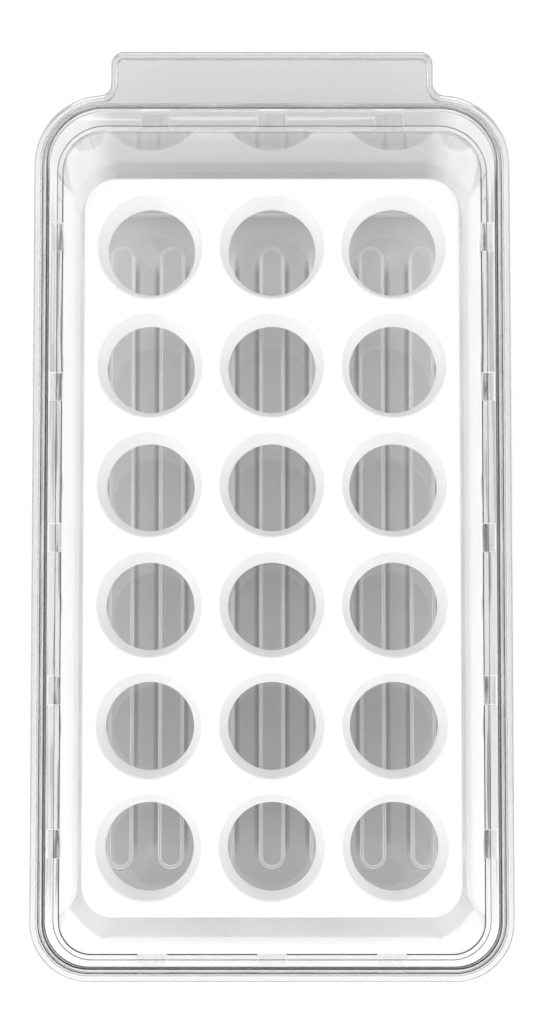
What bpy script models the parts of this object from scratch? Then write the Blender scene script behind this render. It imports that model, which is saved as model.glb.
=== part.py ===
"""Egg holder: a clear moulded bin with a pull tab, and a white egg tray that lifts out of it.

Metres, +Z up. The origin is the middle of the bin's flat base, +Y points to the pull tab
and +X to the right. Run it with: blender --background --python part.py
"""
import math

import bmesh
import bpy

# Bin: inside sizes are taken at the ledge, where the walls end.
BIN_HEIGHT = 0.100
CAVITY_WIDTH = 0.1624
CAVITY_LENGTH = 0.3178
FAR_CORNER_RADIUS = 0.0125
HANDLE_CORNER_RADIUS = 0.0162
WALL_THICKNESS = 0.0023
WALL_DRAFT_DEG = 5.0
END_DRAFT_DEG = 8.0
FLOOR_THICKNESS = 0.0024
FLOOR_FILLET = 0.0050

# Rim: a ledge, a step up to the top face, and a lip turned down all round the outside.
# Each band reaches from the cavity out to the rim's edge, and is widest at the tab's end.
SIDE_BAND = 0.0109
FAR_BAND = 0.0102
HANDLE_BAND = 0.0131
RIM_THICKNESS = 0.0020
STEP_DEPTH = 0.0050
STEP_INSET = 0.0053
STEP_WALL = 0.0019
LIP_THICKNESS = 0.0021
LIP_DROP = 0.0080
RIM_EDGE_RADIUS = 0.0009
LEDGE_EDGE_RADIUS = 0.0006

# Pull tab: the rim's top face and lip, carried outwards at the handle end.
TAB_WIDTH = 0.1250
TAB_REACH = 0.0171
TAB_CORNER_RADIUS = 0.0049
TAB_ROOT_FILLET = 0.0047

# Notches in the ledge.
NOTCH_LENGTH = 0.0113
NOTCH_DEPTH = 0.0009
NOTCH_MARGIN = 0.0007
END_NOTCHES = 3
END_NOTCH_PITCH = 0.0456
SIDE_NOTCHES = 5
SIDE_NOTCH_PITCH = 0.0586

# Long raised beads on the floor.
BEADS = 7
BEAD_PITCH = 0.0209
BEAD_WIDTH = 0.0108
BEAD_LENGTH = 0.2600
BEAD_HEIGHT = 0.0008
BEAD_FLANK = 0.0016

# Egg tray: it stands loose on the beads, a little nearer the tab, and its edge keeps these
# clearances to the walls at the height of its top.
TRAY_HEIGHT = 0.0465
TRAY_SIDE_CLEARANCE = 0.0016
TRAY_FAR_CLEARANCE = 0.0052
TRAY_HANDLE_CLEARANCE = 0.0032
TRAY_CORNER_RADIUS = 0.0125
TRAY_PLATE = 0.0020
TRAY_EDGE_RADIUS = 0.0008
SKIRT_DROP = 0.0080
SKIRT_THICKNESS = 0.0018
SEAT_GAP = 0.0003

# Cups: a funnel for each egg, open at the bottom.
CUP_COLUMNS = 3
CUP_ROWS = 6
COLUMN_PITCH = 0.0492
ROW_PITCH = 0.0483
CUP_MOUTH_DIAMETER = 0.0464
CUP_HOLE_DIAMETER = 0.0355
CUP_DEPTH = 0.0170
CUP_WALL = 0.0016
CUP_EDGE_RADIUS = 0.0019

# Legs: cross-shaped posts under the tray, between the cups.
LEG_ROWS = 3
LEG_ROW_STEP = 2
LEG_HEAD_WIDTH = 0.0104
LEG_FOOT_WIDTH = 0.0088
LEG_HEAD_RIB = 0.0022
LEG_FOOT_RIB = 0.0017

# Fineness of the curves, and how far a cut runs past what it cuts.
CORNER_STEPS = 9
TAB_STEPS = 5
FILLET_STEPS = 4
EDGE_STEPS = 3
CUP_SEGMENTS = 32
OVERRUN = 0.0040
SMOOTH_ANGLE_DEG = 32.0

# Colours and finish.
CLEAR_COLOUR = (0.90, 0.92, 0.93, 1.0)
CLEAR_ROUGHNESS = 0.04
CLEAR_IOR = 1.58
WHITE_COLOUR = (0.88, 0.88, 0.88, 1.0)
WHITE_ROUGHNESS = 0.38

# Worked out from the sizes above.
DRAFT = math.radians(WALL_DRAFT_DEG)
END_STEEPNESS = math.tan(math.radians(END_DRAFT_DEG)) / math.tan(DRAFT)
LEDGE_HEIGHT = BIN_HEIGHT - STEP_DEPTH
TRAY_SEAT = FLOOR_THICKNESS + BEAD_HEIGHT + SEAT_GAP
TRAY_TOP = TRAY_SEAT + TRAY_HEIGHT
TRAY_MIDDLE = (TRAY_FAR_CLEARANCE - TRAY_HANDLE_CLEARANCE) / 2
RIM_HALF_WIDTH = CAVITY_WIDTH / 2 + SIDE_BAND
RIM_FAR = -CAVITY_LENGTH / 2 - FAR_BAND
RIM_HANDLE = CAVITY_LENGTH / 2 + HANDLE_BAND
RIM_FAR_RADIUS = FAR_CORNER_RADIUS + FAR_BAND
RIM_HANDLE_RADIUS = HANDLE_CORNER_RADIUS + SIDE_BAND


def arc(x, y, radius, start_deg, end_deg, steps):
    """Points of an arc in the plane, from one angle to another."""
    points = []
    for step in range(steps + 1):
        angle = math.radians(start_deg + (end_deg - start_deg) * step / steps)
        points.append((x + radius * math.cos(angle), y + radius * math.sin(angle)))
    return points


def at_height(outline, z):
    return [(x, y, z) for x, y in outline]


def rounded_box(half_width, far, handle, far_radius, handle_radius):
    """Rectangle with round corners, counter-clockwise, with its own radius at each end."""
    right = half_width
    outline = []
    for x, y, radius, start in (
        (right - handle_radius, handle - handle_radius, handle_radius, 0),
        (handle_radius - right, handle - handle_radius, handle_radius, 90),
        (far_radius - right, far + far_radius, far_radius, 180),
        (right - far_radius, far + far_radius, far_radius, 270),
    ):
        outline += arc(x, y, radius, start, start + 90, CORNER_STEPS)
    return outline


def cavity_outline(draft_inset, round_inset):
    """The bin's inside at some height. Draft moves the corners in, a fillet also shrinks them.

    The end walls slope more than the side walls that the draft inset is measured on.
    """
    half_length = CAVITY_LENGTH / 2 - draft_inset * END_STEEPNESS - round_inset
    return rounded_box(
        CAVITY_WIDTH / 2 - draft_inset - round_inset,
        -half_length,
        half_length,
        FAR_CORNER_RADIUS - round_inset,
        HANDLE_CORNER_RADIUS - round_inset,
    )


def rim_outline(inset):
    """The rim's outer edge without its tab, moved inwards."""
    return rounded_box(
        RIM_HALF_WIDTH - inset,
        RIM_FAR + inset,
        RIM_HANDLE - inset,
        RIM_FAR_RADIUS - inset,
        RIM_HANDLE_RADIUS - inset,
    )


def tabbed_outline(inset):
    """The rim's outer edge with its tab, moved inwards.

    The tab's root fillet rolls from the tab's side onto the rim's corner arc, or onto its
    straight end where the tab is narrow. The fillet is concave, so its radius grows inwards.
    """
    corner_x = RIM_HALF_WIDTH - RIM_HANDLE_RADIUS
    corner_y = RIM_HANDLE - RIM_HANDLE_RADIUS
    fillet_x = TAB_WIDTH / 2 + TAB_ROOT_FILLET
    across = max(fillet_x - corner_x, 0)
    reach = RIM_HANDLE_RADIUS + TAB_ROOT_FILLET
    along = math.sqrt(reach**2 - across**2)
    touch_deg = math.degrees(math.atan2(along, across))
    fillet_y = corner_y + along
    tab_x = TAB_WIDTH / 2 - TAB_CORNER_RADIUS
    tab_y = RIM_HANDLE + TAB_REACH - TAB_CORNER_RADIUS
    corner_radius = RIM_HANDLE_RADIUS - inset
    fillet_radius = TAB_ROOT_FILLET + inset

    right = arc(corner_x, corner_y, corner_radius, 0, touch_deg, CORNER_STEPS)
    right += arc(fillet_x, fillet_y, fillet_radius, touch_deg + 180, 180, TAB_STEPS)
    right += arc(tab_x, tab_y, TAB_CORNER_RADIUS - inset, 0, 90, TAB_STEPS)
    left = [(-x, y) for x, y in reversed(right)]
    far = rim_outline(inset)[2 * (CORNER_STEPS + 1):]
    return right + left + far


def stadium(half_width, half_length, x):
    """Long bead's outline with half-round ends, about a centre line at x."""
    straight = half_length - half_width
    ends = arc(x, straight, half_width, 0, 180, CORNER_STEPS)
    return ends + arc(x, -straight, half_width, 180, 360, CORNER_STEPS)


def cross(width, rib, x, y):
    """Cross-shaped outline of a leg, counter-clockwise."""
    tip, side = width / 2, rib / 2
    quarter = [(tip, -side), (tip, side), (side, side)]
    outline = []
    for _turn in range(4):
        outline += [(x + px, y + py) for px, py in quarter]
        quarter = [(-py, px) for px, py in quarter]
    return outline


def add_loft(shape, rings):
    """Add to a bmesh the closed skin through rings of equal counts, capped at both ends."""
    rows = [[shape.verts.new(point) for point in ring] for ring in rings]
    count = len(rows[0])
    for lower, upper in zip(rows, rows[1:]):
        for i in range(count):
            j = (i + 1) % count
            shape.faces.new((lower[i], lower[j], upper[j], upper[i]))
    shape.faces.new(list(reversed(rows[0])))
    shape.faces.new(rows[-1])


def lofted(name, skins):
    """Object whose mesh is one or more closed lofts that don't touch each other."""
    shape = bmesh.new()
    for rings in skins:
        add_loft(shape, rings)
    mesh = bpy.data.meshes.new(name)
    shape.to_mesh(mesh)
    shape.free()
    mesh.shade_smooth()
    mesh.set_sharp_from_angle(angle=math.radians(SMOOTH_ANGLE_DEG))
    item = bpy.data.objects.new(name, mesh)
    bpy.context.scene.collection.objects.link(item)
    return item


def combine(target, other, operation):
    """Join another shape to an object, or cut it out, and keep the other as a hidden guide."""
    step = target.modifiers.new(other.name, "BOOLEAN")
    step.operation = operation
    step.solver = "EXACT"
    step.object = other
    other.hide_render = True
    other.display_type = "WIRE"


def floor_fillet(floor_height, radius, wall_inset):
    """Rings that roll from a floor into the drafted wall, whose inset at a height is given."""
    centre = floor_height + radius
    draft_inset = wall_inset(centre)
    rings = []
    for step in range(FILLET_STEPS + 1):
        angle = -math.pi / 2 + (math.pi / 2 - DRAFT) * step / FILLET_STEPS
        round_inset = radius / math.cos(DRAFT) - radius * math.cos(angle)
        rings.append((draft_inset, round_inset, centre + radius * math.sin(angle)))
    return rings


def wall_inset(z):
    """How far the draft brings the inside of a side wall in at a height."""
    return (LEDGE_HEIGHT - z) * math.tan(DRAFT)


def bin_outside():
    """The bin as a solid block: base, drafted walls, ledge, and the step up to the rim."""
    skin = WALL_THICKNESS / math.cos(DRAFT)
    underside = LEDGE_HEIGHT - RIM_THICKNESS
    rings = []
    for draft, rounding, z in floor_fillet(0, FLOOR_FILLET + FLOOR_THICKNESS, wall_inset):
        rings.append(at_height(cavity_outline(draft, rounding - skin), z))
    rings.append(at_height(cavity_outline(wall_inset(underside), -skin), underside))
    step_outside = rim_outline(STEP_INSET - STEP_WALL)
    rings.append(at_height(step_outside, underside))
    rings.append(at_height(step_outside, BIN_HEIGHT - RIM_THICKNESS / 2))
    return lofted("bin", [rings])


def rim_cap():
    """The rim's top face and tab as a plate, with the lip turned down round its edge."""
    lip_end = BIN_HEIGHT - LIP_DROP
    rings = [
        at_height(tabbed_outline(LIP_THICKNESS), BIN_HEIGHT - RIM_THICKNESS),
        at_height(tabbed_outline(LIP_THICKNESS), lip_end),
        at_height(tabbed_outline(0), lip_end),
    ]
    for rounding, z in edge_round(BIN_HEIGHT, RIM_EDGE_RADIUS):
        rings.append(at_height(tabbed_outline(rounding), z))
    return lofted("rim_cap", [rings])


def edge_round(top, radius):
    """Insets and heights that round an upper edge over, from its side to its top face."""
    steps = []
    for step in range(EDGE_STEPS + 1):
        angle = math.pi / 2 * step / EDGE_STEPS
        steps.append((radius - radius * math.cos(angle), top - radius + radius * math.sin(angle)))
    return steps


def cavity():
    """What is hollow inside the bin, from its floor up through the ledge and the step."""
    rings = []
    for draft, rounding, z in floor_fillet(FLOOR_THICKNESS, FLOOR_FILLET, wall_inset):
        rings.append(at_height(cavity_outline(draft, rounding), z))
    for rounding, z in edge_round(LEDGE_HEIGHT, LEDGE_EDGE_RADIUS):
        rings.append(at_height(cavity_outline(wall_inset(z), -rounding), z))
    rings.append(at_height(rim_outline(STEP_INSET), LEDGE_HEIGHT))
    for rounding, z in edge_round(BIN_HEIGHT, RIM_EDGE_RADIUS):
        rings.append(at_height(rim_outline(STEP_INSET - rounding), z))
    rings.append(at_height(rim_outline(STEP_INSET - RIM_EDGE_RADIUS), BIN_HEIGHT + OVERRUN))
    return lofted("cavity", [rings])


def centred_places(count, pitch):
    """Evenly spaced places about zero."""
    return [(index - (count - 1) / 2) * pitch for index in range(count)]


def block(low_x, high_x, low_y, high_y, low_z, high_z):
    """Rings of a plain box."""
    outline = [(low_x, low_y), (high_x, low_y), (high_x, high_y), (low_x, high_y)]
    return [at_height(outline, low_z), at_height(outline, high_z)]


def ledge_notches():
    """Shallow rectangles sunk in the ledge, open to the inside of the bin."""
    floor = LEDGE_HEIGHT - NOTCH_DEPTH
    top = LEDGE_HEIGHT + STEP_DEPTH / 2
    half = NOTCH_LENGTH / 2
    to_step = STEP_INSET + NOTCH_MARGIN
    side = RIM_HALF_WIDTH - to_step
    handle_end = RIM_HANDLE - to_step
    far_end = RIM_FAR + to_step
    inside_x = CAVITY_WIDTH / 2 - OVERRUN
    inside_y = CAVITY_LENGTH / 2 - OVERRUN
    notches = []
    for x in centred_places(END_NOTCHES, END_NOTCH_PITCH):
        notches.append(block(x - half, x + half, inside_y, handle_end, floor, top))
        notches.append(block(x - half, x + half, far_end, -inside_y, floor, top))
    for y in centred_places(SIDE_NOTCHES, SIDE_NOTCH_PITCH):
        notches.append(block(inside_x, side, y - half, y + half, floor, top))
        notches.append(block(-side, -inside_x, y - half, y + half, floor, top))
    return lofted("ledge_notches", notches)


def floor_beads():
    """Long beads with sloping flanks, standing up from the floor."""
    root = FLOOR_THICKNESS / 2
    top = FLOOR_THICKNESS + BEAD_HEIGHT
    half_width = BEAD_WIDTH / 2
    half_length = BEAD_LENGTH / 2
    beads = []
    for x in centred_places(BEADS, BEAD_PITCH):
        foot = stadium(half_width, half_length, x)
        crown = stadium(half_width - BEAD_FLANK, half_length - BEAD_FLANK, x)
        beads.append([at_height(foot, root), at_height(foot, FLOOR_THICKNESS), at_height(crown, top)])
    return lofted("floor_beads", beads)


def make_bin():
    """Clear bin, moulded in one piece with its rim and pull tab."""
    shell = bin_outside()
    combine(shell, rim_cap(), "UNION")
    combine(shell, cavity(), "DIFFERENCE")
    combine(shell, ledge_notches(), "DIFFERENCE")
    combine(shell, floor_beads(), "UNION")
    shell.data.materials.append(
        material("clear_plastic", CLEAR_COLOUR, CLEAR_ROUGHNESS, transmission=1, ior=CLEAR_IOR)
    )
    return shell


def tray_outline(inset):
    """The tray's edge, set in from the bin's walls at the height of the tray's top."""
    half_width = CAVITY_WIDTH / 2 - wall_inset(TRAY_TOP) - TRAY_SIDE_CLEARANCE - inset
    end_wall = CAVITY_LENGTH / 2 - wall_inset(TRAY_TOP) * END_STEEPNESS
    far = TRAY_FAR_CLEARANCE - end_wall + inset
    handle = end_wall - TRAY_HANDLE_CLEARANCE - inset
    radius = TRAY_CORNER_RADIUS - inset
    return rounded_box(half_width, far, handle, radius, radius)


def tray_plate():
    """The tray's flat top with a short skirt round its edge, feet at height zero."""
    skirt_end = TRAY_HEIGHT - SKIRT_DROP
    rings = [
        at_height(tray_outline(SKIRT_THICKNESS), TRAY_HEIGHT - TRAY_PLATE),
        at_height(tray_outline(SKIRT_THICKNESS), skirt_end),
        at_height(tray_outline(0), skirt_end),
    ]
    for rounding, z in edge_round(TRAY_HEIGHT, TRAY_EDGE_RADIUS):
        rings.append(at_height(tray_outline(rounding), z))
    return lofted("egg_tray", [rings])


def cup_places():
    """Middles of the cups, column by column, spread about the tray's own middle."""
    columns = centred_places(CUP_COLUMNS, COLUMN_PITCH)
    rows = centred_places(CUP_ROWS, ROW_PITCH)
    return [(x, y + TRAY_MIDDLE) for x in columns for y in rows]


def turned(profile, x, y):
    """Rings of a round solid from radii and heights, bottom first."""
    rings = []
    for radius, z in profile:
        ring = arc(x, y, radius, 0, 360, CUP_SEGMENTS)
        rings.append(at_height(ring[:-1], z))
    return rings


def cup_radius(z):
    """Inside radius of a cup at a height above the tray's feet, along its cone."""
    hole = CUP_HOLE_DIAMETER / 2
    rise = (CUP_MOUTH_DIAMETER / 2 - CUP_EDGE_RADIUS - hole) / CUP_DEPTH
    return hole + rise * (z - TRAY_HEIGHT + CUP_DEPTH)


def cup_bodies():
    """The cups as solid cones that reach into the tray's plate."""
    end = TRAY_HEIGHT - CUP_DEPTH
    head = TRAY_HEIGHT - TRAY_PLATE / 2
    profile = [(cup_radius(end) + CUP_WALL, end), (cup_radius(head) + CUP_WALL, head)]
    return lofted("cup_bodies", [turned(profile, x, y) for x, y in cup_places()])


def cup_hollows():
    """What is hollow in the cups: a rounded mouth, the cone that holds the egg, and the hole."""
    end = TRAY_HEIGHT - CUP_DEPTH
    profile = [(cup_radius(end), end - OVERRUN), (cup_radius(end), end)]
    for rounding, z in edge_round(TRAY_HEIGHT, CUP_EDGE_RADIUS):
        profile.append((cup_radius(z) + rounding, z))
    profile.append((CUP_MOUTH_DIAMETER / 2, TRAY_HEIGHT + OVERRUN))
    return lofted("cup_hollows", [turned(profile, x, y) for x, y in cup_places()])


def tray_legs():
    """Cross-shaped posts between the cups, over the beads on each side of the middle one."""
    head = TRAY_HEIGHT - TRAY_PLATE / 2
    legs = []
    for x in (-BEAD_PITCH, BEAD_PITCH):
        for place in centred_places(LEG_ROWS, LEG_ROW_STEP * ROW_PITCH):
            y = place + TRAY_MIDDLE
            foot = cross(LEG_FOOT_WIDTH, LEG_FOOT_RIB, x, y)
            top = cross(LEG_HEAD_WIDTH, LEG_HEAD_RIB, x, y)
            legs.append([at_height(foot, 0), at_height(top, head)])
    return lofted("tray_legs", legs)


def make_egg_tray():
    """White tray that stands in the bin and lifts straight out."""
    tray = tray_plate()
    guides = (cup_bodies(), tray_legs(), cup_hollows())
    for guide, operation in zip(guides, ("UNION", "UNION", "DIFFERENCE")):
        combine(tray, guide, operation)
    for item in (tray, *guides):
        item.location.z = TRAY_SEAT
    tray.data.materials.append(material("white_plastic", WHITE_COLOUR, WHITE_ROUGHNESS))
    return tray


def material(name, colour, roughness, transmission=0, ior=1.5):
    """Principled material of one moulded plastic."""
    plastic = bpy.data.materials.new(name)
    plastic.use_nodes = True
    shader = plastic.node_tree.nodes["Principled BSDF"]
    shader.inputs["Base Color"].default_value = colour
    shader.inputs["Roughness"].default_value = roughness
    shader.inputs["Metallic"].default_value = 0
    shader.inputs["Transmission Weight"].default_value = transmission
    shader.inputs["IOR"].default_value = ior
    return plastic


def clear_scene():
    for item in list(bpy.data.objects):
        bpy.data.objects.remove(item)


def main():
    clear_scene()
    make_bin()
    make_egg_tray()


main()
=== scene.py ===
"""Egg holder dressed for looks: a clear moulded bin with a pull tab and a white egg tray.

Metres, +Z up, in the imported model's frame: the middle of the bin's flat base is the origin,
+Y points to the pull tab and +X to the right.
"""
import math

import bmesh
import bpy
from mathutils import Matrix, Vector


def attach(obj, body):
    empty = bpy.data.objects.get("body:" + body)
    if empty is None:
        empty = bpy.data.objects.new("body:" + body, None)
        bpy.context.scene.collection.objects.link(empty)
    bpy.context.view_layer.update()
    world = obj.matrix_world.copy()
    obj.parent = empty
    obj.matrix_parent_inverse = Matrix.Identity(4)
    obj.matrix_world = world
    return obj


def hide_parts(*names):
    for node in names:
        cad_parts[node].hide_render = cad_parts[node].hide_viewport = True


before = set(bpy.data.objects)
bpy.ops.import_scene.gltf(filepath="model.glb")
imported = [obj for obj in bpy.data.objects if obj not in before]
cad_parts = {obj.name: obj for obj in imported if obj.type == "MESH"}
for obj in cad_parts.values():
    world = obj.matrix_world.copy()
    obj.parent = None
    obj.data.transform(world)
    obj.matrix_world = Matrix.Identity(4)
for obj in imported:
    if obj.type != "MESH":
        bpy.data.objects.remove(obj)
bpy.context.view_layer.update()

MM = 0.001

# Bin, as in the CAD: inside sizes are taken at the ledge, where the walls end.
BIN_HEIGHT = 100.0 * MM
CAVITY_WIDTH = 162.4 * MM
CAVITY_LENGTH = 317.8 * MM
FAR_CORNER_RADIUS = 12.5 * MM
HANDLE_CORNER_RADIUS = 16.2 * MM
WALL_THICKNESS = 2.3 * MM
WALL_DRAFT_DEG = 5.0
END_DRAFT_DEG = 8.0
FLOOR_THICKNESS = 2.4 * MM
FLOOR_FILLET = 5.0 * MM

# Rim: ledge, step and turned-down lip.
SIDE_BAND = 10.9 * MM
FAR_BAND = 10.2 * MM
HANDLE_BAND = 13.1 * MM
RIM_THICKNESS = 2.0 * MM
STEP_DEPTH = 5.0 * MM
STEP_INSET = 5.3 * MM
STEP_WALL = 1.9 * MM
STEP_FOOT_RADIUS = 0.5 * MM
LIP_THICKNESS = 2.1 * MM
LIP_DROP = 8.0 * MM
LIP_END_RADIUS = 0.6 * MM
RIM_EDGE_RADIUS = 0.9 * MM
UNDERSIDE_RADIUS = 0.58 * MM
LEDGE_EDGE_RADIUS = 0.6 * MM

# Pull tab.
TAB_WIDTH = 125.0 * MM
TAB_REACH = 17.1 * MM
TAB_CORNER_RADIUS = 4.9 * MM
TAB_ROOT_FILLET = 4.7 * MM

# Notches in the ledge, with sloping ends that the clear plastic's finish draws lighter as a painted
# highlight.
NOTCH_LENGTH = 11.3 * MM
NOTCH_DEPTH = 0.9 * MM
NOTCH_SLOPE = 0.35 * MM
NOTCH_MARGIN = 0.7 * MM
NOTCH_OVERRUN = 4.0 * MM
END_NOTCHES = 3
END_NOTCH_PITCH = 45.6 * MM
SIDE_NOTCHES = 5
SIDE_NOTCH_PITCH = 58.6 * MM

# Long raised beads on the floor.
BEADS = 7
BEAD_PITCH = 20.9 * MM
BEAD_WIDTH = 10.8 * MM
BEAD_LENGTH = 260.0 * MM
BEAD_HEIGHT = 0.8 * MM
BEAD_FLANK = 1.6 * MM

# Egg tray.
TRAY_HEIGHT = 46.5 * MM
TRAY_SIDE_CLEARANCE = 1.6 * MM
TRAY_FAR_CLEARANCE = 5.2 * MM
TRAY_HANDLE_CLEARANCE = 3.2 * MM
TRAY_CORNER_RADIUS = 12.5 * MM
TRAY_PLATE = 2.0 * MM
TRAY_EDGE_RADIUS = 0.8 * MM
SKIRT_DROP = 8.0 * MM
SKIRT_THICKNESS = 1.8 * MM
SKIRT_END_RADIUS = 0.5 * MM
SEAT_GAP = 0.3 * MM

# Cups and legs.
CUP_COLUMNS = 3
CUP_ROWS = 6
COLUMN_PITCH = 49.2 * MM
ROW_PITCH = 48.3 * MM
CUP_MOUTH_DIAMETER = 46.4 * MM
CUP_HOLE_DIAMETER = 35.5 * MM
CUP_DEPTH = 17.0 * MM
CUP_WALL = 1.6 * MM
CUP_EDGE_WIDTH = 1.9 * MM
CUP_EDGE_RADIUS = 2.3 * MM
CUP_END_RADIUS = 0.3 * MM
LEG_COLUMNS = 2
LEG_ROWS = 3
LEG_HEAD_WIDTH = 10.4 * MM
LEG_FOOT_WIDTH = 8.8 * MM
LEG_HEAD_RIB = 2.2 * MM
LEG_FOOT_RIB = 1.7 * MM

# Fineness of the curves.
CORNER_STEPS = 30
TAB_STEPS = 14
ARC_STEP_DEG = 9.0
CUP_SEGMENTS = 96
BEAD_STEPS = 24
FLANK_STEPS = 8
SMOOTH_ANGLE_DEG = 24.0
FLAT_REACH = 30.0 * MM
FACE_MARGIN = 0.2 * MM

# Worked out from the sizes above.
DRAFT = math.radians(WALL_DRAFT_DEG)
END_STEEPNESS = math.tan(math.radians(END_DRAFT_DEG)) / math.tan(DRAFT)
LEDGE_HEIGHT = BIN_HEIGHT - STEP_DEPTH
TRAY_SEAT = FLOOR_THICKNESS + BEAD_HEIGHT + SEAT_GAP
TRAY_TOP = TRAY_SEAT + TRAY_HEIGHT
TRAY_MIDDLE = (TRAY_FAR_CLEARANCE - TRAY_HANDLE_CLEARANCE) / 2
RIM_HALF_WIDTH = CAVITY_WIDTH / 2 + SIDE_BAND
RIM_FAR = -CAVITY_LENGTH / 2 - FAR_BAND
RIM_HANDLE = CAVITY_LENGTH / 2 + HANDLE_BAND
RIM_FAR_RADIUS = FAR_CORNER_RADIUS + FAR_BAND
RIM_HANDLE_RADIUS = HANDLE_CORNER_RADIUS + SIDE_BAND

# Where the tab's root fillet leaves the rim's corner arc, and the fillet's own middle.
TAB_CORNER_X = TAB_WIDTH / 2 - TAB_CORNER_RADIUS
FILLET_X = TAB_WIDTH / 2 + TAB_ROOT_FILLET
FILLET_ACROSS = FILLET_X - (RIM_HALF_WIDTH - RIM_HANDLE_RADIUS)
FILLET_ALONG = math.sqrt((RIM_HANDLE_RADIUS + TAB_ROOT_FILLET) ** 2 - FILLET_ACROSS**2)
TOUCH_DEG = math.degrees(math.atan2(FILLET_ALONG, FILLET_ACROSS))

# A ring without the tab has its spare points along this share of its straight handle end.
TAB_SHARE = 0.25
ARC_END_STEPS = 2


# Clear plastic: how fast its own shine grows towards a grazing angle, and how often light is
# thrown about inside it before it is let out again, as the haze of a real moulding does.
GLOSS_POWER = 5.0
LONGEST_WAY_INSIDE = 4

# Its flow waves and its scuffs, and how far its patterns are drawn out.
WAVE_WIDTH = 24.0 * MM
WAVE_DEPTH = 0.3 * MM
WAVE_STRENGTH = 0.03
SCUFF_WIDTH = 0.5 * MM
SCUFF_HAZE = 0.006
ALONG_THE_FLOW = (1, 0.25, 1)
ALONG_THE_NOTCHES = (1, 0.08, 1)
ALONG_THE_BIN = (1, 0.02, 1)
ACROSS_THE_BIN = (0.12, 1, 1)
NOTCH_STREAK_WIDTH = 1.2 * MM
LEDGE_STREAK_WIDTH = 1.1 * MM
GLINT_WIDTH = 3.0 * MM

# Stretches over which its looks change: heights from the base, and widths and lengths from
# the bin's middle.
FLOOR_HEIGHTS = (3.6 * MM, 4.6 * MM)
WAVY_HEIGHTS = (80.0 * MM, 90.0 * MM)
RIM_HEIGHTS = (94.0 * MM, 94.1 * MM)
LIP_HEIGHTS = (96.5 * MM, 97.0 * MM)
RIM_TOP_HEIGHTS = (98.2 * MM, 98.6 * MM)
CORNER_WIDTHS = (62.0 * MM, 72.0 * MM)
BEAD_ROW_WIDTHS = (68.3 * MM, 68.8 * MM)
SIDE_LEDGE_WIDTHS = (76.0 * MM, 77.0 * MM)
NOTCH_WALL_WIDTHS = (83.2 * MM, 83.8 * MM)
WALL_WIDTHS = (83.6 * MM, 84.4 * MM)
BEAD_SHADE_LENGTHS = (118.0 * MM, 125.0 * MM)
BEAD_END_LENGTHS = (130.5 * MM, 131.5 * MM)
STREAK_LENGTHS = (130.0 * MM, 145.0 * MM)
HANDLE_LENGTHS = (138.0 * MM, 150.0 * MM)
END_NOTCH_LENGTHS = (150.0 * MM, 155.0 * MM)
FLOOR_LENGTHS = (-140.0 * MM, 100.0 * MM)
OUTWARD_REACH = (-5.0 * MM, 5.0 * MM)
ROUNDING_LEANS = (0.035, 0.08)

# Narrow bands: the middle, half the width, and the soft edge.
ROOT_BAND = (92.82 * MM, 0.2 * MM, 0.02 * MM)
NOTCH_FLOOR_BAND = (94.1 * MM, 0.03 * MM, 0.02 * MM)
NOTCH_END_BAND = (94.55 * MM, 0.4 * MM, 0.02 * MM)
LEDGE_BAND = (LEDGE_HEIGHT, 0.02 * MM, 0.02 * MM)
GLINT_BAND = (163.7 * MM, 0.5 * MM, 0.4 * MM)
BEAD_SHADE_BAND = (6.2 * MM, 0.3 * MM, 1.2 * MM)
BEAD_EDGE_TILT = (0.94, 0.02, 0.03)
NOTCH_END_TILT = (math.sin(math.atan(NOTCH_SLOPE / NOTCH_DEPTH)), 0.01, 0.01)
ROOT_LINE_SHARE = 0.85
BEAD_SHADE_SHARE = 0.65

# The tints of its parts, and the light and shade painted into its colour: the handle end's wall
# and the tab are greyer as painted shade, the floor is darker towards the far end as painted
# shade, and beside the beads and on the notches' floors there is painted shade; the beads'
# edges and the handle end's ledge get painted highlights, the side ledges painted reflections
# and the rim's roundings painted dark lines.
TINTS = {
    "wall": "F6F6F6", "lip": "E4E4E4", "painted_handle_wall_shade": "C2C2C2", "tab": "D0D0D0",
    "floor": "CCCCCC", "painted_bead_shade": "A0A0A0", "painted_bead_highlight": "FFFFFF", "painted_notch_shade": "505050",
    "painted_ledge_reflection": "202020", "painted_ledge_glint": "FFFFFF", "painted_dark_line": "060606",
    "thin_wall": "F5F5F5", "none": "000000",
}

# The white plastic's clouds, and grain that is really 0.1 mm: drawn at 0.9 mm, two pixels of
# the photograph. The paper's tooth.
CLOUD_WIDTH = 60.0 * MM
GRAIN_WIDTH = 0.9 * MM
GRAIN_DEPTH = 0.15 * MM
TOOTH_WIDTH = 3.0 * MM


# Outlines

def arc(x, y, radius, start_deg, end_deg, steps):
    """Points of an arc in the plane, from one angle to another."""
    turn = math.radians(end_deg - start_deg) / steps
    start = math.radians(start_deg)
    return [
        (x + radius * math.cos(start + turn * k), y + radius * math.sin(start + turn * k))
        for k in range(steps + 1)
    ]


def mirrored(right_half):
    return right_half + [(-x, y) for x, y in reversed(right_half)]


def far_corners(half_width, far, radius):
    """The two round corners away from the tab, left one first."""
    x, y = half_width - radius, far + radius
    return arc(-x, y, radius, 180, 270, CORNER_STEPS) + arc(x, y, radius, 270, 360, CORNER_STEPS)


def plain_ring(half_width, far, handle, far_radius, handle_radius):
    """Rounded rectangle with as many points as a ring with the tab, point for point."""
    x, y = half_width - handle_radius, handle - handle_radius
    right = arc(x, y, handle_radius, 0, TOUCH_DEG, CORNER_STEPS)
    right += arc(x, y, handle_radius, TOUCH_DEG, 90, ARC_END_STEPS)[1:]
    spare = 2 * TAB_STEPS + 1 - ARC_END_STEPS
    right += [(x * (1 - TAB_SHARE * k / spare), handle) for k in range(1, spare + 1)]
    return mirrored(right) + far_corners(half_width, far, far_radius)


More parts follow.
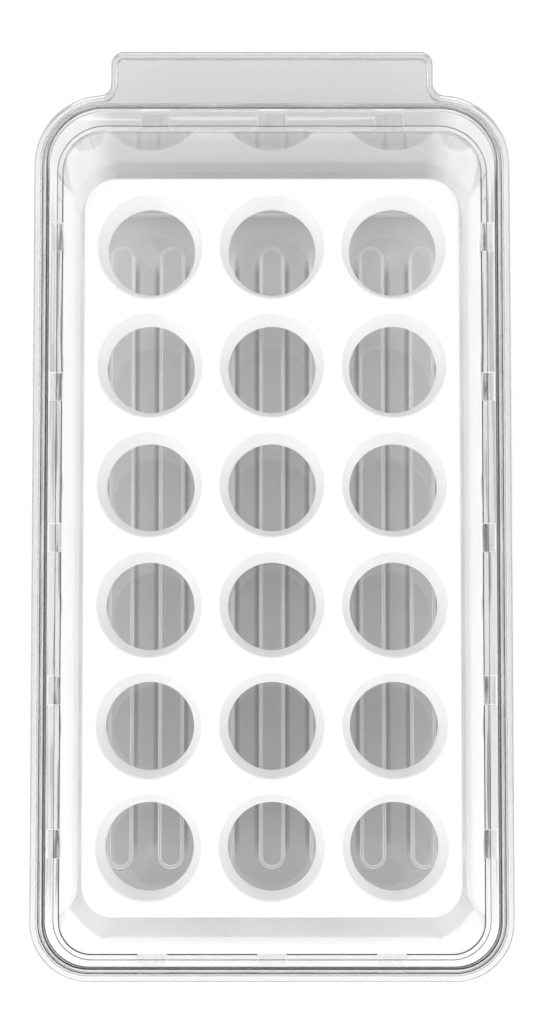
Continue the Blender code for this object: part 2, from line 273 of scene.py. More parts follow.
def tab_ring(inset):
    """The rim's outer edge with the pull tab, moved inwards."""
    x, y = RIM_HALF_WIDTH - RIM_HANDLE_RADIUS, RIM_HANDLE - RIM_HANDLE_RADIUS
    right = arc(x, y, RIM_HANDLE_RADIUS - inset, 0, TOUCH_DEG, CORNER_STEPS)
    fillet = TAB_ROOT_FILLET + inset
    right += arc(FILLET_X, y + FILLET_ALONG, fillet, TOUCH_DEG + 180, 180, TAB_STEPS)[1:]
    corner_y = RIM_HANDLE + TAB_REACH - TAB_CORNER_RADIUS
    right += arc(TAB_CORNER_X, corner_y, TAB_CORNER_RADIUS - inset, 0, 90, TAB_STEPS)
    return mirrored(right) + far_corners(
        RIM_HALF_WIDTH - inset, RIM_FAR + inset, RIM_FAR_RADIUS - inset
    )


def rim_ring(inset):
    """The rim's outer edge without the tab, moved inwards."""
    return plain_ring(
        RIM_HALF_WIDTH - inset, RIM_FAR + inset, RIM_HANDLE - inset,
        RIM_FAR_RADIUS - inset, RIM_HANDLE_RADIUS - inset,
    )


def draft_inset(z):
    """How far the draft brings the inside of a side wall in at a height."""
    return (LEDGE_HEIGHT - z) * math.tan(DRAFT)


def cavity_ring(inset, z):
    """The bin's inside at a height. What is beyond the draft shrinks the corners too.

    The end walls slope more than the side walls that the inset is measured on.
    """
    rounding = inset - draft_inset(z)
    half_length = CAVITY_LENGTH / 2 - draft_inset(z) * END_STEEPNESS - rounding
    return plain_ring(
        CAVITY_WIDTH / 2 - inset, -half_length, half_length,
        max(FAR_CORNER_RADIUS - rounding, FACE_MARGIN),
        max(HANDLE_CORNER_RADIUS - rounding, FACE_MARGIN),
    )


def tray_ring(inset):
    """The tray's edge, set in from the bin's walls at the height of the tray's top."""
    end_wall = CAVITY_LENGTH / 2 - draft_inset(TRAY_TOP) * END_STEEPNESS
    radius = max(TRAY_CORNER_RADIUS - inset, FACE_MARGIN)
    return plain_ring(
        CAVITY_WIDTH / 2 - draft_inset(TRAY_TOP) - TRAY_SIDE_CLEARANCE - inset,
        TRAY_FAR_CLEARANCE - end_wall + inset,
        end_wall - TRAY_HANDLE_CLEARANCE - inset,
        radius, radius,
    )


def rounded_path(corners):
    """Section line through (inset, height, radius) corners, with each corner rounded."""
    path = [corners[0][:2]]
    for before, corner, after in zip(corners, corners[1:], corners[2:]):
        here = Vector(corner[:2])
        come = (here - Vector(before[:2])).normalized()
        leave = (Vector(after[:2]) - here).normalized()
        turn = come.angle_signed(leave)
        reach = corner[2] * math.tan(abs(turn) / 2)
        side = Vector((come.y, -come.x)) * math.copysign(corner[2], turn)
        start = here - come * reach
        middle = start + side
        steps = max(1, round(abs(math.degrees(turn)) / ARC_STEP_DEG))
        for k in range(steps + 1):
            spoke = Matrix.Rotation(-turn * k / steps, 2) @ (start - middle)
            path.append(tuple(middle + spoke))
    path.append(corners[-1][:2])
    return path


# Meshes

def add_skin(shape, rings, closed_ends=True):
    """Add the skin through rings of equal counts to a mesh in the making."""
    rows = [[shape.verts.new(point) for point in ring] for ring in rings]
    count = len(rows[0])
    for lower, upper in zip(rows, rows[1:]):
        for i in range(count):
            j = (i + 1) % count
            shape.faces.new((lower[i], lower[j], upper[j], upper[i]))
    if closed_ends:
        shape.faces.new(list(reversed(rows[0])))
        shape.faces.new(rows[-1])


def new_object(name, shape):
    """Object from a mesh in the making, with its faces turned outwards."""
    bmesh.ops.recalc_face_normals(shape, faces=shape.faces)
    mesh = bpy.data.meshes.new(name)
    shape.to_mesh(mesh)
    shape.free()
    item = bpy.data.objects.new(name, mesh)
    bpy.context.scene.collection.objects.link(item)
    return item


def lofted(name, rings):
    shape = bmesh.new()
    add_skin(shape, rings)
    return new_object(name, shape)


def raised(ring, z):
    return [(x, y, z) for x, y in ring]


def rings_along(path, family, takes_height=False):
    """Rings of one outline family, one for each point of a section line."""
    if takes_height:
        return [raised(family(inset, z), z) for inset, z in path]
    return [raised(family(inset), z) for inset, z in path]


def plain_mesh(item):
    """Put an object's evaluated mesh in its place and take its modifiers away."""
    seen = item.evaluated_get(bpy.context.evaluated_depsgraph_get())
    mesh = bpy.data.meshes.new_from_object(seen)
    item.modifiers.clear()
    item.data = mesh
    return item


def combine(item, other, operation):
    """Join another closed shape to an object or cut it out, and drop the other."""
    step = item.modifiers.new(operation.lower(), "BOOLEAN")
    step.operation = operation
    step.solver = "EXACT"
    step.object = other
    plain_mesh(item)
    bpy.data.objects.remove(other)


def smooth(item):
    """Smooth shading with true flats: big faces decide the shading at their edges."""
    item.data.shade_smooth()
    item.data.set_sharp_from_angle(angle=math.radians(SMOOTH_ANGLE_DEG))
    weights = item.modifiers.new("flats", "WEIGHTED_NORMAL")
    weights.mode = "FACE_AREA"
    weights.keep_sharp = True
    return plain_mesh(item)


def node(tree, kind, feeds=None, **settings):
    """Add a node with its settings, and feed its inputs by value or by link."""
    made = tree.nodes.new(kind)
    for name, value in settings.items():
        setattr(made, name, value)
    for socket, value in (feeds or {}).items():
        if isinstance(value, bpy.types.NodeSocket):
            tree.links.new(value, made.inputs[socket])
        else:
            made.inputs[socket].default_value = value
    return made


def spreading_tree():
    """Geometry Nodes tree that sets copies of one shape out on a grid."""
    tree = bpy.data.node_groups.new("copies_on_a_grid", "GeometryNodeTree")
    tree.interface.new_socket("Shape", in_out="INPUT", socket_type="NodeSocketGeometry")
    for name, kind in (
        ("Columns", "NodeSocketInt"), ("Rows", "NodeSocketInt"),
        ("Column pitch", "NodeSocketFloat"), ("Row pitch", "NodeSocketFloat"),
        ("Middle", "NodeSocketVector"), ("Finish", "NodeSocketMaterial"),
    ):
        tree.interface.new_socket(name, in_out="INPUT", socket_type=kind)
    tree.interface.new_socket("Copies", in_out="OUTPUT", socket_type="NodeSocketGeometry")
    given = node(tree, "NodeGroupInput").outputs
    sizes = []
    for count, pitch in (("Columns", "Column pitch"), ("Rows", "Row pitch")):
        gaps = node(tree, "ShaderNodeMath", {0: given[count], 1: 1.0}, operation="SUBTRACT")
        sizes.append(
            node(tree, "ShaderNodeMath", {0: gaps.outputs[0], 1: given[pitch]}, operation="MULTIPLY")
        )
    grid = node(tree, "GeometryNodeMeshGrid", {
        "Size X": sizes[0].outputs[0], "Size Y": sizes[1].outputs[0],
        "Vertices X": given["Columns"], "Vertices Y": given["Rows"],
    })
    placed = node(tree, "GeometryNodeSetPosition", {
        "Geometry": grid.outputs["Mesh"], "Offset": given["Middle"],
    })
    copies = node(tree, "GeometryNodeInstanceOnPoints", {
        "Points": placed.outputs[0], "Instance": given["Shape"],
    })
    real = node(tree, "GeometryNodeRealizeInstances", {0: copies.outputs[0]})
    finish = node(tree, "GeometryNodeSetMaterial", {
        "Geometry": real.outputs[0], "Material": given["Finish"],
    })
    node(tree, "NodeGroupOutput", {"Copies": finish.outputs[0]})
    return tree


SPREADING_TREE = spreading_tree()


def spread(item, columns, rows, column_pitch, row_pitch, finish, middle=(0, 0, 0)):
    """Turn one shape into its copies on a grid."""
    step = item.modifiers.new("copies", "NODES")
    step.node_group = SPREADING_TREE
    sockets = {s.name: s.identifier for s in SPREADING_TREE.interface.items_tree}
    for name, value in (
        ("Columns", columns), ("Rows", rows), ("Column pitch", column_pitch),
        ("Row pitch", row_pitch), ("Middle", middle), ("Finish", finish),
    ):
        step[sockets[name]] = value
    return plain_mesh(item)


# Finishes

def colour(hex_code):
    """Linear colour with alpha from an sRGB hex code."""
    shades = [int(hex_code[i:i + 2], 16) / 255 for i in (0, 2, 4)]
    linear = [s / 12.92 if s <= 0.04045 else ((s + 0.055) / 1.055) ** 2.4 for s in shades]
    return (*linear, 1.0)


def new_material(name):
    """Empty material: its tree, its object coordinates and its output."""
    finish = bpy.data.materials.new(name)
    finish.use_nodes = True
    tree = finish.node_tree
    tree.nodes.clear()
    place = node(tree, "ShaderNodeTexCoord").outputs["Object"]
    return finish, tree, place, node(tree, "ShaderNodeOutputMaterial")


def pattern(tree, place, size, stretch=(1, 1, 1), detail=2.0, roughness=0.5):
    """Soft random pattern whose spots are about the given size across."""
    mapped = node(tree, "ShaderNodeMapping", {"Vector": place, "Scale": stretch})
    return node(tree, "ShaderNodeTexNoise", {
        "Vector": mapped.outputs[0], "Scale": 1 / size, "Detail": detail, "Roughness": roughness,
    }).outputs["Fac"]


def spanned(tree, fac, low, high, from_low=0.3, from_high=0.7):
    """A pattern stretched over a range of values."""
    return node(tree, "ShaderNodeMapRange", {
        "Value": fac, "From Min": from_low, "From Max": from_high,
        "To Min": low, "To Max": high,
    }).outputs[0]


def band(tree, value, middle, half, soft):
    """One near a middle value, and nothing away from it."""
    off = node(tree, "ShaderNodeMath", {0: value, 1: middle}, operation="SUBTRACT").outputs[0]
    away = node(tree, "ShaderNodeMath", {0: off}, operation="ABSOLUTE").outputs[0]
    return spanned(tree, away, 1.0, 0.0, half, half + soft)


def product(tree, *shares):
    """All the shares multiplied together."""
    result = shares[0]
    for share in shares[1:]:
        result = node(tree, "ShaderNodeMath", {
            0: result, 1: share,
        }, operation="MULTIPLY").outputs[0]
    return result


def blend(tree, share, first, second):
    """From the first colour to the second."""
    return node(tree, "ShaderNodeMix", {0: share, 6: first, 7: second}, data_type="RGBA").outputs[2]


def rising(tree, value, stretch):
    """Nothing before a stretch, and one after it."""
    return spanned(tree, value, 0.0, 1.0, *stretch)


def fading(tree, value, stretch, left=0.0):
    """One before a stretch, and what is left after it."""
    return spanned(tree, value, 1.0, left, *stretch)


def lessened(tree, share, left=0.0):
    """One where a share is nothing, and what is left where it is one."""
    return spanned(tree, share, 1.0, left, 0.0, 1.0)


class Surface:
    """What the clear plastic's looks depend on: where a point is and how its surface leans."""

    def __init__(self, tree, place):
        self.place = place
        at = node(tree, "ShaderNodeSeparateXYZ", {0: place}).outputs
        self.x, self.y, self.z = (at[axis] for axis in "XYZ")
        self.across = node(tree, "ShaderNodeMath", {0: self.x}, operation="ABSOLUTE").outputs[0]
        self.along = node(tree, "ShaderNodeMath", {0: self.y}, operation="ABSOLUTE").outputs[0]
        facing = node(tree, "ShaderNodeNewGeometry").outputs["Normal"]
        tilt = node(tree, "ShaderNodeSeparateXYZ", {0: facing}).outputs["Z"]
        # One on a level surface and nothing on an upright one.
        self.level = node(tree, "ShaderNodeMath", {0: tilt}, operation="ABSOLUTE").outputs[0]
        upright = node(
            tree, "ShaderNodeMath", {0: 1.0, 1: self.level}, operation="SUBTRACT"
        ).outputs[0]
        # Roundings are neither level nor upright.
        self.rounding = rising(tree, product(tree, upright, self.level), ROUNDING_LEANS)
        flat_facing = node(tree, "ShaderNodeVectorMath", {
            0: facing, 1: (1, 1, 0),
        }, operation="MULTIPLY").outputs[0]
        # Above nothing where the surface faces away from the bin's middle.
        self.outward = node(tree, "ShaderNodeVectorMath", {
            0: flat_facing, 1: place,
        }, operation="DOT_PRODUCT").outputs["Value"]
        self.at_handle = product(
            tree, rising(tree, self.y, HANDLE_LENGTHS), fading(tree, self.across, CORNER_WIDTHS, 0.3),
        )
        self.on_ledge = band(tree, self.z, *LEDGE_BAND)
        self.in_floor = fading(tree, self.z, FLOOR_HEIGHTS)


def notch_end_highlights(tree, seen):
    """The notches' sloping ends, drawn lighter as a painted highlight."""
    return product(tree, band(tree, seen.level, *NOTCH_END_TILT), band(tree, seen.z, *NOTCH_END_BAND))


def painted_dark_lines(tree, seen, notch_end_highlight):
    """Painted dark lines on the rim's roundings: painted shade where they lead light away.

    The lines are weaker at the handle end, most of all under the tab, and where the rounding
    faces away from the bin's middle. The fillet between the wall's outside and the ledge
    draws a thinner line.
    """
    under_tab = product(tree, seen.at_handle, fading(tree, seen.z, RIM_TOP_HEIGHTS))
    rim_line = product(
        tree, seen.rounding, rising(tree, seen.z, RIM_HEIGHTS), lessened(tree, under_tab, 0.3),
        fading(tree, seen.y, HANDLE_LENGTHS, 0.8), fading(tree, seen.outward, OUTWARD_REACH, 0.6),
        lessened(tree, notch_end_highlight),
    )
    root_line = product(tree, seen.rounding, band(tree, seen.z, *ROOT_BAND), ROOT_LINE_SHARE)
    return node(tree, "ShaderNodeMath", {0: rim_line, 1: root_line}, operation="MAXIMUM").outputs[0]


def painted_notch_shades(tree, seen):
    """Painted shade on the notches' floors: dark streaks along the bin, darkest over the side walls."""
    streaks = pattern(tree, seen.place, NOTCH_STREAK_WIDTH, ALONG_THE_NOTCHES)
    return product(
        tree, band(tree, seen.z, *NOTCH_FLOOR_BAND), spanned(tree, streaks, 0.3, 1.0, 0.4, 0.6),
        fading(tree, seen.across, NOTCH_WALL_WIDTHS, 0.4),
        fading(tree, seen.along, END_NOTCH_LENGTHS, 0.2),
    )


def painted_ledge_reflections(tree, seen):
    """Painted reflections: on the side ledges the walls' inside is drawn as long broken dark streaks,
    strongest over them.
    """
    streaks = pattern(tree, seen.place, LEDGE_STREAK_WIDTH, ALONG_THE_BIN, detail=1.0)
    return product(
        tree, seen.on_ledge, spanned(tree, streaks, 0.0, 0.8, 0.50, 0.58),
        rising(tree, seen.across, SIDE_LEDGE_WIDTHS), fading(tree, seen.across, WALL_WIDTHS, 0.6),
        fading(tree, seen.along, STREAK_LENGTHS),
    )


def painted_ledge_glints(tree, seen):
    """At the handle end the ledge has a row of long painted glints instead."""
    glints = pattern(tree, seen.place, GLINT_WIDTH, ACROSS_THE_BIN, detail=1.0)
    return product(
        tree, seen.on_ledge, band(tree, seen.y, *GLINT_BAND), rising(tree, glints, (0.42, 0.52)),
    )


def painted_bead_highlights(tree, seen):
    """Where the beads' foot and crown roundings lean by about twenty degrees: a painted highlight,
    drawn white.
    """
    return product(
        tree, seen.in_floor, band(tree, seen.level, *BEAD_EDGE_TILT),
        fading(tree, seen.along, BEAD_END_LENGTHS), fading(tree, seen.across, BEAD_ROW_WIDTHS),
    )


def painted_shade_beside_beads(tree, seen):
    """Painted shade: the floor beside the beads is drawn a little darker."""
    from_bead = node(tree, "ShaderNodeMath", {
        0: seen.x, 1: BEAD_PITCH / 2,
    }, operation="PINGPONG").outputs[0]
    return product(
        tree, seen.in_floor, fading(tree, seen.along, BEAD_SHADE_LENGTHS),
        band(tree, from_bead, *BEAD_SHADE_BAND), BEAD_SHADE_SHARE,
    )


def clear_polystyrene():
    """Crystal polystyrene, injection moulded against polished steel.

    It gives the eye a colourless gloss with strong refraction (IOR 1.59), faintly wavy along
    the flow from the gate, and a haze of fine handling scuffs that only show in highlights.
    Light and shade are painted into its colour: painted dark lines on the rim's small roundings,
    painted highlights on the beads' edges, the notches' sloping ends and the handle end's ledge,
    painted reflections on the side ledges, and painted shade on the notches' floors, beside the
    beads, on the floor towards the far end and at the handle end.
    """
    finish, tree, place, output = new_material("crystal_polystyrene_moulded")
    seen = Surface(tree, place)
    below_rim = fading(tree, seen.z, WAVY_HEIGHTS)
    # Flow waves run with the bin's length, 24 mm across and four times as long.
    flow = node(tree, "ShaderNodeBump", {
        "Height": pattern(tree, place, WAVE_WIDTH, ALONG_THE_FLOW, detail=1.0),
        "Distance": WAVE_DEPTH,
        "Strength": spanned(tree, below_rim, 0.0, WAVE_STRENGTH, 0.0, 1.0),
    })
    # Real scuffs are 0.02 mm wide: drawn 0.5 mm wide so that they show at all.
    scuffs = pattern(tree, place, SCUFF_WIDTH, ALONG_THE_NOTCHES, detail=3.0)
    haze = product(tree, spanned(tree, scuffs, 0.0, SCUFF_HAZE, 0.45, 0.75), below_rim)

    notch_end_highlight = notch_end_highlights(tree, seen)
    painted_dark_line = painted_dark_lines(tree, seen, notch_end_highlight)
    painted_bead_highlight = painted_bead_highlights(tree, seen)
    tint = blend(
        tree, rising(tree, seen.z, LIP_HEIGHTS), colour(TINTS["wall"]), colour(TINTS["lip"]),
    )
    # Painted shade at the handle end: its wall and the tab are drawn greyer, standing in for the shaded
    # paper under the tab.
    painted_handle_shade = blend(
        tree, rising(tree, seen.z, WAVY_HEIGHTS), colour(TINTS["painted_handle_wall_shade"]), colour(TINTS["tab"]),
    )
    tint = blend(tree, seen.at_handle, tint, painted_handle_shade)
    # Painted shade: the floor is drawn darker towards the far end.
    far_floor_shade = product(tree, seen.in_floor, fading(tree, seen.y, FLOOR_LENGTHS, 0.2))
    # The marks blended in below are painted light and shade: painted shade on the far floor, beside the
    # beads and on the notches' floors, painted highlights on the beads' edges, painted reflections on
    # the side ledges, painted glints at the handle end and painted dark lines on the rim's roundings.
    for share, name in (
        (far_floor_shade, "floor"), (painted_shade_beside_beads(tree, seen), "painted_bead_shade"), (painted_bead_highlight, "painted_bead_highlight"),
        (painted_notch_shades(tree, seen), "painted_notch_shade"), (painted_ledge_reflections(tree, seen), "painted_ledge_reflection"),
        (painted_ledge_glints(tree, seen), "painted_ledge_glint"), (painted_dark_line, "painted_dark_line"),
    ):
        tint = blend(tree, share, tint, colour(TINTS[name]))

    plastic = node(tree, "ShaderNodeBsdfPrincipled", {
        "Base Color": tint,
        "Roughness": haze,
        "Normal": flow.outputs[0],
        "IOR": 1.59,
        # Transmission is lowered where the painted highlights and painted dark lines are drawn, so that
        # their colours show.
        "Transmission Weight": product(
            tree, lessened(tree, painted_bead_highlight, 0.2), lessened(tree, notch_end_highlight, 0.5),
            lessened(tree, painted_dark_line, 0.1),
        ),
    })
    # Light from the lamps and from lit surfaces goes straight through the thin walls, less at
    # a grazing angle, where the gloss throws it back.
    grazing = node(tree, "ShaderNodeLayerWeight").outputs["Facing"]
    gloss = node(tree, "ShaderNodeMath", {0: grazing, 1: GLOSS_POWER}, operation="POWER")
    path = node(tree, "ShaderNodeLightPath").outputs
    trapped = node(tree, "ShaderNodeMath", {
        0: path["Ray Depth"], 1: LONGEST_WAY_INSIDE,
    }, operation="GREATER_THAN").outputs[0]
    held = node(tree, "ShaderNodeMath", {0: gloss.outputs[0], 1: trapped}, operation="SUBTRACT")
    held.use_clamp = True
    let_through = blend(tree, held.outputs[0], colour(TINTS["thin_wall"]), colour(TINTS["none"]))
    straight = node(tree, "ShaderNodeBsdfTransparent", {"Color": let_through})
    soft_light = node(tree, "ShaderNodeMath", {
        0: path["Is Shadow Ray"], 1: path["Is Diffuse Ray"],
    }, operation="MAXIMUM")
    lets_by = node(tree, "ShaderNodeMath", {
        0: soft_light.outputs[0], 1: trapped,
    }, operation="MAXIMUM")
    mixed = node(tree, "ShaderNodeMixShader", {
        0: lets_by.outputs[0], 1: plastic.outputs[0], 2: straight.outputs[0],
    })
    tree.links.new(mixed.outputs[0], output.inputs["Surface"])
    return finish


def white_polypropylene():
    """White polypropylene, injection moulded in a finely spark-eroded mould.

    It gives the eye a bright satin white, a little waxy where light enters thin edges, with
    a fine even grain and slightly cloudier patches where the melt met.
    """
    finish, tree, place, output = new_material("white_polypropylene_moulded")
    clouds = pattern(tree, place, CLOUD_WIDTH)
    grain = pattern(tree, place, GRAIN_WIDTH, roughness=0.6)
    relief = node(tree, "ShaderNodeBump", {
        "Height": grain, "Strength": 0.08, "Distance": GRAIN_DEPTH,
    })
    plastic = node(tree, "ShaderNodeBsdfPrincipled", {
        "Base Color": blend(tree, clouds, colour("F5F5F5"), colour("F9F9F9")),
        "Roughness": spanned(tree, grain, 0.34, 0.46),
        "Normal": relief.outputs[0],
        "IOR": 1.49,
    })
    tree.links.new(plastic.outputs[0], output.inputs["Surface"])
    return finish


def studio_paper():
    """White background paper: matt, even, with the faintest tooth."""
    finish, tree, place, output = new_material("studio_paper")
    tooth = pattern(tree, place, TOOTH_WIDTH)
    paper = node(tree, "ShaderNodeBsdfPrincipled", {
        "Base Color": blend(tree, tooth, colour("FAFAFA"), colour("FEFEFE")),
        "Roughness": 0.9, "Specular IOR Level": 0.2,
    })
    tree.links.new(paper.outputs[0], output.inputs["Surface"])
    return finish


# The bin

def bin_shell():
    """The bin's skin as one closed loft, from its inside floor over the rim to its base."""
    under_ledge = LEDGE_HEIGHT - RIM_THICKNESS
    under_rim = BIN_HEIGHT - RIM_THICKNESS
    lip_end = BIN_HEIGHT - LIP_DROP
    skin = WALL_THICKNESS / math.cos(DRAFT)
    step_outside = STEP_INSET - STEP_WALL

    inside = rounded_path([
        (draft_inset(FLOOR_THICKNESS) + FLAT_REACH, FLOOR_THICKNESS, 0),
        (draft_inset(FLOOR_THICKNESS), FLOOR_THICKNESS, FLOOR_FILLET),
        (0, LEDGE_HEIGHT, LEDGE_EDGE_RADIUS),
        (-LEDGE_EDGE_RADIUS - FACE_MARGIN, LEDGE_HEIGHT, 0),
    ])
    step = rounded_path([
        (STEP_INSET + STEP_FOOT_RADIUS + FACE_MARGIN, LEDGE_HEIGHT, 0),
        (STEP_INSET, LEDGE_HEIGHT, STEP_FOOT_RADIUS),
        (STEP_INSET, BIN_HEIGHT, RIM_EDGE_RADIUS),
        (STEP_INSET - RIM_EDGE_RADIUS - FACE_MARGIN, BIN_HEIGHT, 0),
    ])
    lip = rounded_path([
        (RIM_EDGE_RADIUS + FACE_MARGIN, BIN_HEIGHT, 0),
        (0, BIN_HEIGHT, RIM_EDGE_RADIUS),
        (0, lip_end, LIP_END_RADIUS),
        (LIP_THICKNESS, lip_end, LIP_END_RADIUS),
        (LIP_THICKNESS, under_rim, UNDERSIDE_RADIUS),
        (LIP_THICKNESS + UNDERSIDE_RADIUS + FACE_MARGIN / 4, under_rim, 0),
    ])
    step_back = rounded_path([
        (step_outside - UNDERSIDE_RADIUS - FACE_MARGIN / 4, under_rim, 0),
        (step_outside, under_rim, UNDERSIDE_RADIUS),
        (step_outside, under_ledge, RIM_EDGE_RADIUS),
        (step_outside + RIM_EDGE_RADIUS + FACE_MARGIN, under_ledge, 0),
    ])
    outside = rounded_path([
        (-skin - UNDERSIDE_RADIUS - FACE_MARGIN, under_ledge, 0),
        (draft_inset(under_ledge) - skin, under_ledge, UNDERSIDE_RADIUS),
        (draft_inset(0) - skin, 0, FLOOR_FILLET + FLOOR_THICKNESS),
        (draft_inset(0) + FLAT_REACH, 0, 0),
    ])
    rings = rings_along(inside, cavity_ring, takes_height=True)
    rings += rings_along(step, rim_ring)
    rings += rings_along(lip, tab_ring)
    rings += rings_along(step_back, rim_ring)
    rings += rings_along(outside, cavity_ring, takes_height=True)
    return lofted("clear_bin", rings)


def notch_cutter(low_x, high_x, low_y, high_y):
    """Tapered block that sinks one notch."""
    rings = []
    for z, slope in (
        (LEDGE_HEIGHT - NOTCH_DEPTH, NOTCH_SLOPE), (LEDGE_HEIGHT, 0), (BIN_HEIGHT - STEP_DEPTH / 2, 0),
    ):
        rings.append([
            (low_x + slope, low_y + slope, z), (high_x - slope, low_y + slope, z),
            (high_x - slope, high_y - slope, z), (low_x + slope, high_y - slope, z),
        ])
    return lofted("notch", rings)


def cut_notches(shell, finish):
    """Three notches at each end of the ledge and five along each side."""
    to_step = STEP_INSET + NOTCH_MARGIN
    half = NOTCH_LENGTH / 2
    inside_x, inside_y = CAVITY_WIDTH / 2 - NOTCH_OVERRUN, CAVITY_LENGTH / 2 - NOTCH_OVERRUN
    side = RIM_HALF_WIDTH - to_step
    for low_y, high_y in ((inside_y, RIM_HANDLE - to_step), (RIM_FAR + to_step, -inside_y)):
        row = notch_cutter(-half, half, low_y, high_y)
        combine(shell, spread(row, END_NOTCHES, 1, END_NOTCH_PITCH, 0, finish), "DIFFERENCE")
    for low_x, high_x in ((inside_x, side), (-side, -inside_x)):
        row = notch_cutter(low_x, high_x, -half, half)
        combine(shell, spread(row, 1, SIDE_NOTCHES, 0, SIDE_NOTCH_PITCH, finish), "DIFFERENCE")


def stadium(half_width, half_length):
    """Long bead's outline with half-round ends."""
    straight = half_length - half_width
    return arc(0, straight, half_width, 0, 180, BEAD_STEPS) + arc(
        0, -straight, half_width, 180, 360, BEAD_STEPS
    )


def floor_bead():
    """One long bead: its flank rises in a soft S from the floor to its flat crown."""
    rings = [raised(stadium(BEAD_WIDTH / 2, BEAD_LENGTH / 2), FLOOR_THICKNESS / 2)]
    for k in range(FLANK_STEPS + 1):
        share = k / FLANK_STEPS
        inset = BEAD_FLANK * share
        rise = BEAD_HEIGHT * (1 - math.cos(math.pi * share)) / 2
        outline = stadium(BEAD_WIDTH / 2 - inset, BEAD_LENGTH / 2 - inset)
        rings.append(raised(outline, FLOOR_THICKNESS + rise))
    return lofted("floor_bead", rings)


def make_bin(finish):
    """Clear bin with its notched ledge, rim, pull tab and beaded floor."""
    shell = bin_shell()
    cut_notches(shell, finish)
    beads = spread(floor_bead(), BEADS, 1, BEAD_PITCH, 0, finish)
    combine(shell, beads, "UNION")
    shell.data.materials.clear()
    shell.data.materials.append(finish)
    return smooth(shell)


# The egg tray

def tray_plate():
    """The tray's flat top with a short skirt round its edge."""
    top = TRAY_TOP
    under = top - TRAY_PLATE
    skirt_end = top - SKIRT_DROP
    path = rounded_path([
        (FLAT_REACH / 2, top, 0),
        (0, top, TRAY_EDGE_RADIUS),
        (0, skirt_end, SKIRT_END_RADIUS),
        (SKIRT_THICKNESS, skirt_end, SKIRT_END_RADIUS),
        (SKIRT_THICKNESS, under, TRAY_EDGE_RADIUS),
        (FLAT_REACH / 2, under, 0),
    ])
    return lofted("white_egg_tray", rings_along(path, tray_ring))


def turned(name, path):
    """Round solid about the z axis from a line of radii and heights."""
    return lofted(name, [raised(arc(0, 0, r, 0, 360, CUP_SEGMENTS)[:-1], z) for r, z in path])


def cup_radius(z):
    """Inside radius of a cup at a height, along its cone."""
    hole = CUP_HOLE_DIAMETER / 2
    rise = (CUP_MOUTH_DIAMETER / 2 - CUP_EDGE_WIDTH - hole) / CUP_DEPTH
    return hole + rise * (z - TRAY_TOP + CUP_DEPTH)


def cup_body():
    end, head = TRAY_TOP - CUP_DEPTH, TRAY_TOP - TRAY_PLATE / 2
    return turned("cup", [(cup_radius(end) + CUP_WALL, end), (cup_radius(head) + CUP_WALL, head)])


def cup_hollow():
    """What is hollow in a cup: the rounded mouth, the cone that holds the egg, and the hole."""
    end = TRAY_TOP - CUP_DEPTH
    path = rounded_path([
        (cup_radius(end), end - CUP_DEPTH / 4, 0),
        (cup_radius(end), end, CUP_END_RADIUS),
        (cup_radius(TRAY_TOP), TRAY_TOP, CUP_EDGE_RADIUS),
        (CUP_MOUTH_DIAMETER / 2 + CUP_EDGE_WIDTH, TRAY_TOP, 0),
    ])
    path = path[:-1] + [(path[-2][0], TRAY_TOP + CUP_DEPTH / 4)]
    return turned("cup_hollow", path)


def cross(width, rib, z):
    """Cross-shaped section of a leg."""
    tip, side = width / 2, rib / 2
    quarter = [(tip, -side), (tip, side), (side, side)]
    outline = []
    for _turn in range(4):
        outline += quarter
        quarter = [(-y, x) for x, y in quarter]
    return raised(outline, z)


def make_egg_tray(finish):
    """White tray with its eighteen cups and six legs."""
    middle = (0, TRAY_MIDDLE, 0)
    tray = tray_plate()
    cups = (CUP_COLUMNS, CUP_ROWS, COLUMN_PITCH, ROW_PITCH, finish, middle)
    combine(tray, spread(cup_body(), *cups), "UNION")
    leg = lofted("leg", [
        cross(LEG_FOOT_WIDTH, LEG_FOOT_RIB, TRAY_SEAT),
        cross(LEG_HEAD_WIDTH, LEG_HEAD_RIB, TRAY_TOP - TRAY_PLATE / 2),
    ])
    legs = (LEG_COLUMNS, LEG_ROWS, 2 * BEAD_PITCH, 2 * ROW_PITCH, finish, middle)
    combine(tray, spread(leg, *legs), "UNION")
    combine(tray, spread(cup_hollow(), *cups), "DIFFERENCE")
    tray.data.materials.clear()
    tray.data.materials.append(finish)
    return smooth(tray)


# The studio

CAMERA_PLACE = (0, -86.5 * MM, 1208 * MM)
CAMERA_TILT_DEG = 4.9
LENS = 101.5
SENSOR = 36.0
# Height of the sky's bands, as the sine of their elevation, and their share of its strength:
# a dim room, a soft ceiling, and the camera's own shade overhead.
SKY_BANDS = ((0.05, 0.3), (0.40, 0.6), (0.80, 0.8), (0.90, 1.3), (0.96, 1.3), (0.99, 0.1))
SKY_STRENGTH = 1.0
# Softboxes: where they stand, how wide and high they are, and their brightness.
SOFTBOXES = {
    "front_softbox": ((0, -1.5, 1.4), 2.0, 1.0, 2.8),
    "left_softbox": ((-1.8, -0.1, 1.0), 1.6, 0.9, 2.6),
    "right_softbox": ((1.8, 0.1, 1.0), 1.6, 0.9, 2.0),
    "handle_end_softbox": ((-0.3, 1.8, 1.2), 1.4, 0.8, 0.7),
    "left_strip": ((-0.95, 0.12, 1.75), 1.1, 0.12, 5.0),
    "right_strip": ((0.95, 0.12, 1.75), 1.1, 0.12, 5.0),
}
FLOOR_HALF = 3.0
FARTHEST_SEEN = 20.0
FLOOR_DROP = 0.2 * MM
# Light runs far along inside clear walls, so its path isn't cut short.
LIGHT_BOUNCES = 40
GLOSS_BOUNCES = 24


def make_floor():
    """Plain pale floor just under the bin."""
    shape = bmesh.new()
    corners = [(-1, -1), (1, -1), (1, 1), (-1, 1)]
    shape.faces.new([
        shape.verts.new((x * FLOOR_HALF, y * FLOOR_HALF, -FLOOR_DROP)) for x, y in corners
    ])
    paper = new_object("studio_floor", shape)
    paper.data.materials.append(studio_paper())


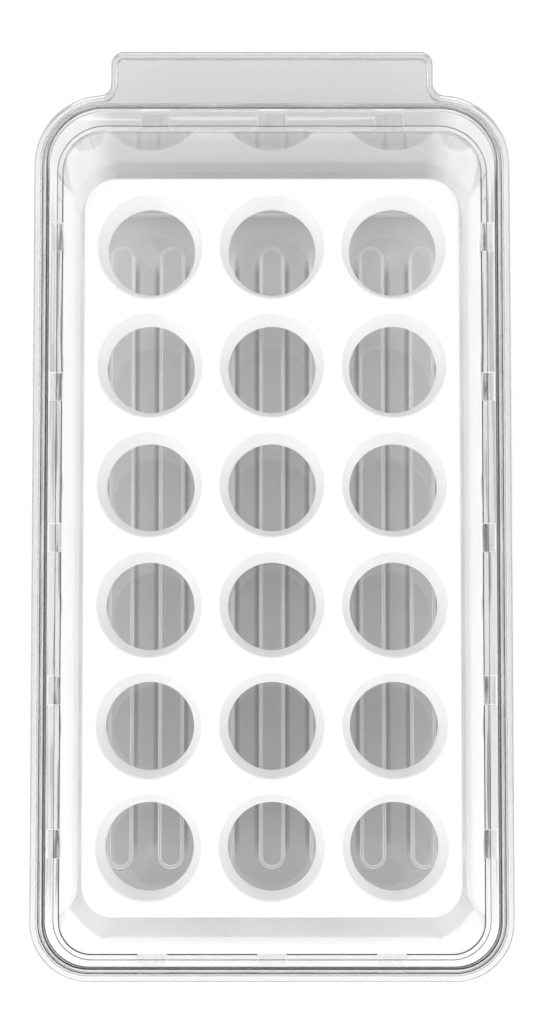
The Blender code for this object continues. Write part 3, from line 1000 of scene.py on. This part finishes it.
def softbox(name, place, width, height, brightness):
    """Soft rectangular lamp that looks at the middle of the bin."""
    lamp = bpy.data.lights.new(name, "AREA")
    lamp.shape = "RECTANGLE"
    lamp.size, lamp.size_y = width, height
    lamp.energy = brightness * math.pi * width * height
    item = bpy.data.objects.new(name, lamp)
    item.location = place
    aim = Vector((0, 0, BIN_HEIGHT / 2)) - item.location
    item.rotation_euler = aim.to_track_quat("-Z", "Y").to_euler()
    bpy.context.scene.collection.objects.link(item)


def studio_sky():
    """Soft white light from all sides above, over a dim room."""
    sky = bpy.data.worlds.new("studio")
    sky.use_nodes = True
    tree = sky.node_tree
    tree.nodes.clear()
    way = node(tree, "ShaderNodeTexCoord").outputs["Generated"]
    up = node(tree, "ShaderNodeSeparateXYZ", {0: way}).outputs["Z"]
    glow = node(tree, "ShaderNodeValToRGB", {0: up})
    ramp = glow.color_ramp
    ramp.elements[0].position, ramp.elements[0].color = SKY_BANDS[0][0], (SKY_BANDS[0][1],) * 3 + (1,)
    ramp.elements[1].position, ramp.elements[1].color = SKY_BANDS[-1][0], (SKY_BANDS[-1][1],) * 3 + (1,)
    for height, share in SKY_BANDS[1:-1]:
        ramp.elements.new(height).color = (share, share, share, 1)
    light = node(tree, "ShaderNodeBackground", {"Color": glow.outputs[0], "Strength": SKY_STRENGTH})
    node(tree, "ShaderNodeOutputWorld", {"Surface": light.outputs[0]})
    return sky


def make_studio():
    """Camera where the photograph was taken from, and plain soft light."""
    scene = bpy.context.scene
    eye = bpy.data.cameras.new("camera")
    eye.lens = LENS
    eye.sensor_width = SENSOR
    eye.clip_end = FARTHEST_SEEN
    camera = bpy.data.objects.new("camera", eye)
    camera.location = CAMERA_PLACE
    camera.rotation_euler = (math.radians(CAMERA_TILT_DEG), 0, 0)
    scene.collection.objects.link(camera)
    scene.camera = camera

    make_floor()
    for name, settings in SOFTBOXES.items():
        softbox(name, *settings)
    scene.world = studio_sky()
    scene.view_settings.view_transform = "Standard"
    scene.cycles.max_bounces = LIGHT_BOUNCES
    scene.cycles.transmission_bounces = LIGHT_BOUNCES
    scene.cycles.glossy_bounces = GLOSS_BOUNCES


# Put together

make_studio()

clear_bin = make_bin(clear_polystyrene())
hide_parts("bin")
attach(clear_bin, "bin")

egg_tray = make_egg_tray(white_polypropylene())
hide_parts("egg_tray")
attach(egg_tray, "egg_tray")
